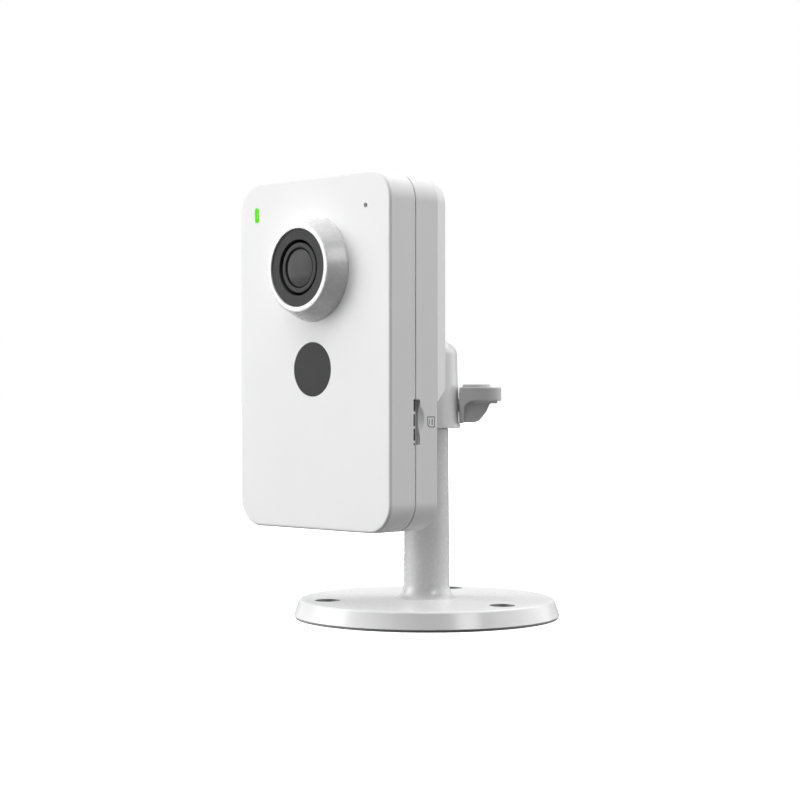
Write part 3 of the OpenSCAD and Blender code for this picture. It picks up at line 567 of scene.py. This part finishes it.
def card_mark():
    """A small generic outline of a memory card, printed beside the recess."""
    side = HEAD_W / 2
    flat_to_side = lambda u, v, w: (w, MARK_Y + u, MARK_Z + v)

    def card(inset):
        half, tall, chamfer = 1.5 - inset, 1.55 - inset, 0.75 - 0.4 * inset
        return [(half, -tall), (half, tall), (-half, tall), (-half, -tall + chamfer),
                (-half + chamfer, -tall)]

    mark = prism("card_mark", card(0), side - 0.02, side + 0.012, flat_to_side)
    combine(mark, [prism("cut", card(0.26), side - 1, side + 1, flat_to_side)])
    bars = [(-0.75, -0.6, 0.85, 0.13), (0.45, -0.85, 0.85, 0.18)]
    for u, low, high, half in bars:
        outline = [(u - half, low), (u + half, low), (u + half, high), (u - half, high)]
        bar = prism("card_mark_bar", outline, side - 0.02, side + 0.012, flat_to_side)
        place_piece(bar, "button_grey", "head")
    place_piece(mark, "button_grey", "head")


def card_recess():
    """Rim notch beside the card slot and its shallow spherical finger scoop."""
    side = HEAD_W / 2
    depth = 1.5
    section_r = 5.7
    scoop_r = (section_r ** 2 + depth ** 2) / (2 * depth)
    middle_z = sum(CARD_SLOT_Z) / 2
    notch = prism("cut", rounded_rectangle(3.6, CARD_SLOT_Z[1] - CARD_SLOT_Z[0], 0.5, 6),
                  side - depth, side + 1, lambda u, v, w: (w, REAR_RIM_Y - 0.2 + u, middle_z + v))
    section = [(scoop_r * math.sin(math.radians(a)), -scoop_r * math.cos(math.radians(a)))
               for a in range(0, 181, 3)]
    centre_x, centre_y = side + scoop_r - depth, REAR_RIM_Y - 2.05
    scoop = lathe("cut", section, lambda u, v, w: (centre_x + w, centre_y + u, SCOOP_Z + v), 96)
    return [notch, scoop]


def back_openings():
    """Screw wells, speaker grille, reset hole and power inlet in the rear shell."""
    tools = []
    screws = box_mm("housing_screws")
    low_z, high_z = screws[0].z + 2.3, screws[1].z - 2.3
    for x in (-26, 26):
        tools.append(screw_well(x, low_z, LOWER_BACK_Y))
    for x in (-14, 14):
        tools.append(screw_well(x, high_z, UPPER_BACK_Y))
    pitch = 2.6
    for row in range(-2, 3):
        for col in range(-2, 3):
            if abs(row + col) <= 2:
                x = SPEAKER.x + pitch * (col + row / 2)
                z = SPEAKER.z + pitch * row * math.sqrt(3) / 2
                tools.append(cylinder_y("cut", x, z, 0.6, LOWER_BACK_Y - 4, LOWER_BACK_Y + 1, 24))
    tools.append(cylinder_y("cut", RESET.x, RESET.z, 2.2, LOWER_BACK_Y - 4, LOWER_BACK_Y + 1))
    tools.append(prism("cut", rounded_rectangle(9.6, 8.8, 0.8, 6), LOWER_BACK_Y - 4,
                       LOWER_BACK_Y + 1, lambda u, v, w: (INLET.x + u, w, INLET.z + v)))
    return tools


def screw_well(x, z, back_y):
    """Counterbore that a housing screw's head sits in."""
    return cylinder_y("cut", x, z, 2.6, back_y - 1.9, back_y + 1, 40)


def bezel_cone():
    front = BEZEL_FRONT_Y
    section = rounded([(11.24, front + 10), (12.4, front + 10), (12.4, FRONT_Y), (15.3, FRONT_Y),
                       (15.3, FRONT_Y - 0.35), (15.05, FRONT_Y - 0.5), (12.8, front),
                       (11.24, front)],
                      [0, 0, 0, 0, 0.12, 0.1, 0.55, 0.15], steps=6, closed=True)
    bezel = lathe("lens_bezel_cone", section, about_lens(LENS_Z), 192)
    smooth(bezel)
    keep_flat(bezel)
    polished = moulded("white_bezel", (0.81, 0.81, 0.812), 0.27, relief=0.0006)
    place_piece(bezel, "white_housing", "head", "lens_bezel", finish=polished)


def trim_ring():
    face = BEZEL_FRONT_Y + 0.45
    back = BEZEL_FRONT_Y + 6.4
    section = rounded([(8.0, back), (8.8, back), (8.8, face + 1.2), (11.2, face + 1.2),
                       (11.2, face), (8.0, face)],
                      [0, 0, 0, 0, 0.12, 0.2], steps=4, closed=True)
    trim = lathe("trim_ring", section, about_lens(LENS_Z), 160)
    smooth(trim)
    keep_flat(trim)
    place_piece(trim, "lens_trim", "head", "lens_trim_ring")


def barrel_head(face):
    """Lens barrel with its front at the given depth."""
    back, step = BEZEL_FRONT_Y + 16.1, BEZEL_FRONT_Y + 7.6
    section = rounded([(4.6, back), (6.0, back), (6.0, step), (7.25, step), (7.25, face),
                       (5.85, face), (5.85, face + 1.6), (4.6, face + 2.8)],
                      [0, 0, 0, 0.1, 0.3, 0.12, 0, 0], steps=4, closed=True)
    barrel = lathe("barrel", section, about_lens(LENS_Z), 128)
    smooth(barrel)
    keep_flat(barrel)
    place_piece(barrel, "lens_black", "head", "lens_barrel")


def retaining_ring(face):
    section = [(5.4, face + 0.9), (5.83, face + 0.9), (5.83, face + 0.25), (5.4, face + 0.25)]
    ring = lathe("retaining_ring", section, about_lens(LENS_Z), 128)
    smooth(ring)
    place_piece(ring, "ring_black", "head", "lens_retainer")


def front_glass(face):
    """Front lens with a shallow dome."""
    edge_r, edge_y, bulge = 5.38, face + 0.4, 0.35
    dome = [(edge_r * k / 16, edge_y - bulge * (1 - (k / 16) ** 2)) for k in range(17)]
    section = dome + [(edge_r, face + 1.55), (0, face + 1.55)]
    glass = lathe("front_glass", section, about_lens(LENS_Z), 128)
    smooth(glass)
    place_piece(glass, "lens_glass", "head", "front_lens")


def lens_group():
    """Bezel cone, trim ring, barrel head, retaining ring and front glass, all turned."""
    bezel_cone()
    trim_ring()
    face = BEZEL_FRONT_Y + 0.85
    barrel_head(face)
    retaining_ring(face)
    front_glass(face)


def infrared_window():
    """Dark round window with a flange behind the front housing's wall."""
    flange = 9.2
    face = FRONT_Y + 0.02
    section = rounded([(0, face), (7.8, face), (7.8, FRONT_Y + WALL), (flange, FRONT_Y + WALL),
                       (flange, FRONT_Y + WALL + 0.9), (0, FRONT_Y + WALL + 0.9)],
                      [0, 0.18, 0, 0, 0, 0], steps=4)
    window = lathe("infrared_window", section, about_front(0, WINDOW_Z), 128)
    smooth(window)
    keep_flat(window)
    place_piece(window, "ir_acrylic", "head", "ir_window")


def status_light():
    """Light pipe: an upright bar in the front wall, joined to a block behind it."""
    face = FRONT_Y + 0.03
    back = FRONT_Y + WALL + 0.1
    outlines = [(0.28, face), (0.1, face + 0.05), (0.0, face + 0.2), (0.0, back)]
    rings = [[(LIGHT.x + u, y, LIGHT.z + v)
              for u, v in bar_outline(1.8 - 2 * inset, 4.5 - 2 * inset)]
             for inset, y in outlines]
    pipe = lofted("status_light", rings)
    combine(pipe, [block("join", (LIGHT.x - 1.6, back - 0.1, LIGHT.z - 2.3),
                         (LIGHT.x + 1.6, FRONT_Y + 4.6, LIGHT.z + 2.3))], "UNION")
    smooth(pipe)
    place_piece(pipe, "light_green", "head", "light_pipe")


# ---------- collar and lever ----------

def collar():
    """One-piece domed sleeve with two hinge ears and a flat seat behind the lever."""
    bottom = box_mm("swivel_collar")[0].z
    sleeve_side = rounded([(COLLAR_BORE_R, bottom), (COLLAR_FOOT_R, bottom), (9.5, 72),
                           (COLLAR_TOP_R, 78)], [0, 0.25, 30, 0], steps=6)
    turns = [math.radians(a) for a in range(0, 90, 5)]
    dome = [(COLLAR_TOP_R * math.cos(a), DOME_Z + DOME_RISE * math.sin(a)) for a in turns]
    bore_top = [(0, COLLAR_BORE_TOP_Z), (COLLAR_BORE_R, COLLAR_BORE_TOP_Z)]
    section = bore_top + sleeve_side + dome + [(0, DOME_Z + DOME_RISE)]
    sleeve = lathe("collar", section, upright, 160)
    for side in (-1, 1):
        low, high = sorted((side * EAR_INNER_X, side * EAR_OUTER_X))
        outline = [(-6.5, HINGE.z - EAR_R), (-6.5, HINGE.z + EAR_R)]
        outline += arc((HINGE.y, HINGE.z), EAR_R, 90, 270, 24)
        combine(sleeve, [prism("join", outline, low, high, lambda u, v, w: (w, u, v))], "UNION")
    flange_seat, screw_hole = along_lever("cut", 5.8, 9.7, 14), along_lever("cut", 2.15, 5, 14)
    combine(sleeve, [flange_seat, screw_hole])
    smooth(sleeve)
    soften(sleeve, 0.25, 3, 60)
    place_piece(sleeve, "white_stand", "collar", "swivel_collar")


def lever_point(u, v, w):
    """u runs outward along the clamp screw, v sideways and w up from its axis."""
    c, s = math.cos(LEVER_TURN), math.sin(LEVER_TURN)
    return (u * c - v * s, u * s + v * c, LEVER_Z + w)


def along_lever(name, radius, low, high):
    """A round bar on the clamp screw's axis."""
    section = [(0, low), (radius, low), (radius, high), (0, high)]
    return lathe(name, section, lambda u, v, w: lever_point(w, u, v), 96)


def lever_slab(name, outline, half_w):
    """An outline seen from the lever's side, half_w to each side of its middle."""
    return prism(name, outline, -half_w, half_w, lambda u, v, w: lever_point(u, w, v))


def clamp_lever():
    """Thumb lever: flange, rounded plate, a limb curving down to the flange and a rib below."""
    half_w, low, high = LEVER_HALF_W, LEVER_PLATE_LOW, LEVER_PLATE_HIGH
    lever = along_lever("lever_grip", 5.5, 10.0, 11.1)
    plan = [(10.4, -half_w)] + arc((LEVER_TIP_U, 0), half_w, -90, 90, 40) + [(10.4, half_w)]
    plate = prism("join", plan, low, high, lever_point)
    limb = rounded([(10.65, 3.0), (10.65, -5.5), (10.95, -5.5), (11.3, low), (15.2, low),
                    (15.2, 3.0)], [0, 0, 0, 3.2, 0, 0], steps=10)
    limb = combine(lever_slab("join", limb, half_w), [along_lever("keep", 6.9, 5, 20)], "INTERSECT")
    rib = rounded([(10.9, 3.0), (10.9, -5.2), (15.6, -5.2), (18.2, -1.9), (19.4, 0.9),
                   (21.0, 0.9), (21.0, 3.0)], [0, 0, 3.2, 3.2, 1.6, 0, 0], steps=8)
    combine(lever, [plate, limb, lever_slab("join", rib, 2.6)], "UNION")
    remesh = lever.modifiers.new("blend", "REMESH")
    remesh.mode = "VOXEL"
    remesh.voxel_size = 0.15 * MM
    even = lever.modifiers.new("even", "SMOOTH")
    even.iterations = 12
    freeze(lever)
    for face in lever.data.polygons:
        face.use_smooth = True
    place_piece(lever, "lever_plastic", "lever", "clamp_lever")
    lever_pad("lever_pad_top", high, 1, 15.2)
    lever_pad("lever_pad_bottom", low, -1, LEVER_TIP_U)


def lever_pad(name, face, way, centre):
    """Round grip pad with shallow ribs, standing 0.85 mm out of a face of the thumb plate."""
    radius = 4.25
    foot, top = face - way * 0.4, face + way * 0.7
    section = rounded([(0, foot), (radius, foot), (radius, top), (0, top)], [0, 0, 0.12, 0], steps=3)
    pad = lathe(name, section, lambda u, v, t: lever_point(centre + u, v, t), 96)
    ribs = []
    rib_pitch, rib_half_w, ribbed_r = 0.9, 0.3, 4.0
    for k in range(-4, 5):
        rib_u = centre + rib_pitch * k
        half = math.sqrt(ribbed_r ** 2 - (rib_pitch * k) ** 2)
        left, right = rib_u - rib_half_w, rib_u + rib_half_w
        outline = [(left, -half), (right, -half), (right, half), (left, half)]
        low, high = sorted((face, face + way * 0.84))
        ribs.append(prism("join", outline, low, high, lever_point))
    combine(pad, ribs, "UNION")
    smooth(pad)
    soften(pad, 0.08, 2, 50)
    place_piece(pad, "lever_plastic", "lever")


# ---------- stand ----------

def pole_column():
    """Pole with a flared foot, a shoulder and the spigot that the collar turns on."""
    section = [(0, 3.2), (4.95, 3.2), (4.95, 5.9), (9.5, 5.9)]
    for angle in range(6, 91, 6):
        a = math.radians(angle)
        section.append((7.0 + 2.3 * (1 - math.sin(a)), 6.0 + 4.2 * (1 - math.cos(a))))
    section += [(6.92, 24), (6.8, 40), (6.65, POLE_SHOULDER_Z - 0.3), (6.35, POLE_SHOULDER_Z),
                (SPIGOT_R, POLE_SHOULDER_Z), (SPIGOT_R, GROOVE_LOW_Z), (GROOVE_R, GROOVE_LOW_Z),
                (GROOVE_R, GROOVE_HIGH_Z), (SPIGOT_R, GROOVE_HIGH_Z), (SPIGOT_R, SPIGOT_TOP_Z),
                (0, SPIGOT_TOP_Z)]
    pole = lathe("pole_column", section, upright, 128)
    smooth(pole)
    keep_flat(pole)
    # Painted shade: the pole gets a darker white than the rest of the stand, standing in for the
    # shade down its middle.
    shaded_pole_finish = moulded("pole_plastic_painted_shade", (0.68, 0.68, 0.682), 0.26, relief=0.0006)
    place_piece(pole, "white_stand", "stand", "pole", finish=shaded_pole_finish)


def base_holes():
    """Centres of the base's screw holes."""
    turns = [2 * math.pi * k / BASE_HOLE_COUNT for k in range(BASE_HOLE_COUNT)]
    return [(BASE_HOLE_CIRCLE_R * math.cos(a), BASE_HOLE_CIRCLE_R * math.sin(a)) for a in turns]


def base_disc():
    """Round base with a sloping rim and counterbored screw holes."""
    rim = BASE_RIM_R
    section = rounded([(0, 0.62), (rim, 0.62), (rim - 1.7, 5.68), (rim - 4.0, 5.76), (24, 5.87),
                       (10, 6.0), (0, 6.0)], [0, 0.2, 0.9, 4.0, 40, 20, 0], steps=8)
    base = lathe("base_disc", section, upright, 256)
    hole = [(0, -1), (BASE_HOLE_R, -1), (BASE_HOLE_R, BASE_SINK_Z), (BASE_SINK_R, BASE_SINK_Z),
            (BASE_SINK_R, 9), (0, 9)]
    tools = []
    for x, y in base_holes():
        place = lambda u, v, w, x=x, y=y: (x + u, y + v, w)
        tools.append(lathe("cut", hole, place, 64))
    combine(base, tools)
    smooth(base)
    soften(base, 0.12, 3, 50)
    # Painted light: the base gets a lighter white than the rest of the stand, standing in for light
    # on its top.
    bright = moulded("base_plastic_painted_light", (0.92, 0.92, 0.922), 0.22, relief=0.0006, specular=0.45)
    place_piece(base, "white_stand", "stand", "base_plate", finish=bright)
    shade_screw_holes(base)


def shade_screw_holes(base):
    """Painted shade: dark steel-grey colour on the walls inside the base's screw holes."""
    # Painted shade: the dark weight_steel colour stands in for the shade inside the holes.
    base.data.materials.append(SLOTS["weight_steel"])
    for face in base.data.polygons:
        spot = face.center / MM
        for x, y in base_holes():
            off = math.hypot(spot.x - x, spot.y - y)
            if off < BASE_SINK_R + 0.01 and abs(face.normal.z) < 0.5:
                face.material_index = 1


# ---------- stage, light and camera ----------

def stage():
    """Pale floor, plain white far from the camera and shaded only round its foot."""
    bpy.ops.mesh.primitive_plane_add(size=60)
    floor = bpy.context.object
    floor.name = "floor"
    material = bpy.data.materials.new("floor")
    tree, shader = nodes_of(material)
    shader.inputs["Roughness"].default_value = 0.9
    shader.inputs["Specular IOR Level"].default_value = 0.1
    path = tree.nodes.new("ShaderNodeLightPath")
    mix = tree.nodes.new("ShaderNodeMix")
    mix.data_type = "RGBA"
    mix.inputs["A"].default_value = (0.12, 0.12, 0.12, 1)
    mix.inputs["B"].default_value = (0.93, 0.93, 0.93, 1)
    tree.links.new(path.outputs["Is Camera Ray"], mix.inputs["Factor"])
    tree.links.new(mix.outputs["Result"], shader.inputs["Base Color"])
    coords = tree.nodes.new("ShaderNodeTexCoord")
    away = tree.nodes.new("ShaderNodeVectorMath")
    away.operation = "LENGTH"
    tree.links.new(coords.outputs["Object"], away.inputs[0])
    fade = tree.nodes.new("ShaderNodeMapRange")
    fade.inputs["From Min"].default_value = 0.05
    fade.inputs["From Max"].default_value = 0.6
    fade.inputs["To Min"].default_value = 0.6
    fade.inputs["To Max"].default_value = 1.1
    tree.links.new(away.outputs["Value"], fade.inputs["Value"])
    glow = tree.nodes.new("ShaderNodeMath")
    glow.operation = "MULTIPLY"
    tree.links.new(path.outputs["Is Camera Ray"], glow.inputs[0])
    tree.links.new(fade.outputs["Result"], glow.inputs[1])
    shader.inputs["Emission Color"].default_value = (1, 1, 1, 1)
    tree.links.new(glow.outputs["Value"], shader.inputs["Emission Strength"])
    floor.data.materials.append(material)


def sky(strength):
    """Plain white behind everything, lighting the scene only faintly."""
    world = bpy.data.worlds.new("studio")
    bpy.context.scene.world = world
    world.use_nodes = True
    tree = world.node_tree
    backdrop = tree.nodes["Background"]
    path = tree.nodes.new("ShaderNodeLightPath")
    level = tree.nodes.new("ShaderNodeMapRange")
    level.inputs["To Min"].default_value = strength
    level.inputs["To Max"].default_value = 1.0
    tree.links.new(path.outputs["Is Camera Ray"], level.inputs["Value"])
    tree.links.new(level.outputs["Result"], backdrop.inputs["Strength"])
    backdrop.inputs["Color"].default_value = (1, 1, 1, 1)


def panel(name, azimuth, height, wide, tall, brightness):
    """A soft rectangular light 4 m from the stand, given by its direction and spread.

    Azimuth runs from +X toward +Y and height is above the horizon, both in degrees.
    """
    a, h = math.radians(azimuth), math.radians(height)
    towards = Vector((math.cos(a) * math.cos(h), math.sin(a) * math.cos(h), math.sin(h)))
    reach = 4.0
    data = bpy.data.lights.new(name, "AREA")
    data.shape = "RECTANGLE"
    data.size = 2 * reach * math.tan(math.radians(wide) / 2)
    data.size_y = 2 * reach * math.tan(math.radians(tall) / 2)
    data.energy = brightness * math.pi * data.size * data.size_y
    lamp = bpy.data.objects.new(name, data)
    bpy.context.scene.collection.objects.link(lamp)
    lamp.location = Vector((0, 0, 0.08)) + reach * towards
    lamp.rotation_euler = towards.to_track_quat("Z", "Y").to_euler()
    lamp.visible_camera = False
    return lamp


def lights():
    """Soft panels all round, and two that only show in glossy surfaces."""
    sky(0.02)
    panel("key_left", 219, 15, 33, 36, 5.6)
    panel("front_left", 240, 4, 40, 20, 3.2)
    panel("side_right", 32, 12, 35, 40, 1.95)
    panel("back_right", 70, 12, 40, 40, 2.5)
    panel("top_front", 240, 55, 60, 40, 2.2)
    panel("top_back", 90, 55, 60, 40, 2.2)
    panel("overhead", 315, 76, 50, 50, 1.9)
    panel("glint_right", -8, 27, 19, 27, 8).visible_diffuse = False
    panel("backdrop", 135, 10, 80, 24, 0.5).visible_diffuse = False


def camera():
    """Level camera with an 85 mm lens, 578 mm from the pole's axis and 45 degrees to the right."""
    turn = math.radians(45.08)
    distance, sideways, height = 0.57765, 0.00815, 0.06672
    across = Vector((math.cos(turn), math.sin(turn), 0))
    ahead = Vector((-math.sin(turn), math.cos(turn), 0))
    data = bpy.data.cameras.new("camera")
    data.lens = 85.0
    data.sensor_width = 36.0
    eye = bpy.data.objects.new("camera", data)
    bpy.context.scene.collection.objects.link(eye)
    eye.location = -sideways * across - distance * ahead + Vector((0, 0, height))
    look = ahead - Vector((0, 0, math.tan(math.radians(0.05))))
    eye.rotation_euler = look.to_track_quat("-Z", "Y").to_euler()
    bpy.context.scene.camera = eye
    bpy.context.scene.view_settings.view_transform = "Standard"


camera()
stage()
lights()
dress_cad_nodes()
front_shell()
rear_shell()
card_mark()
lens_group()
infrared_window()
status_light()
collar()
clamp_lever()
pole_column()
base_disc()
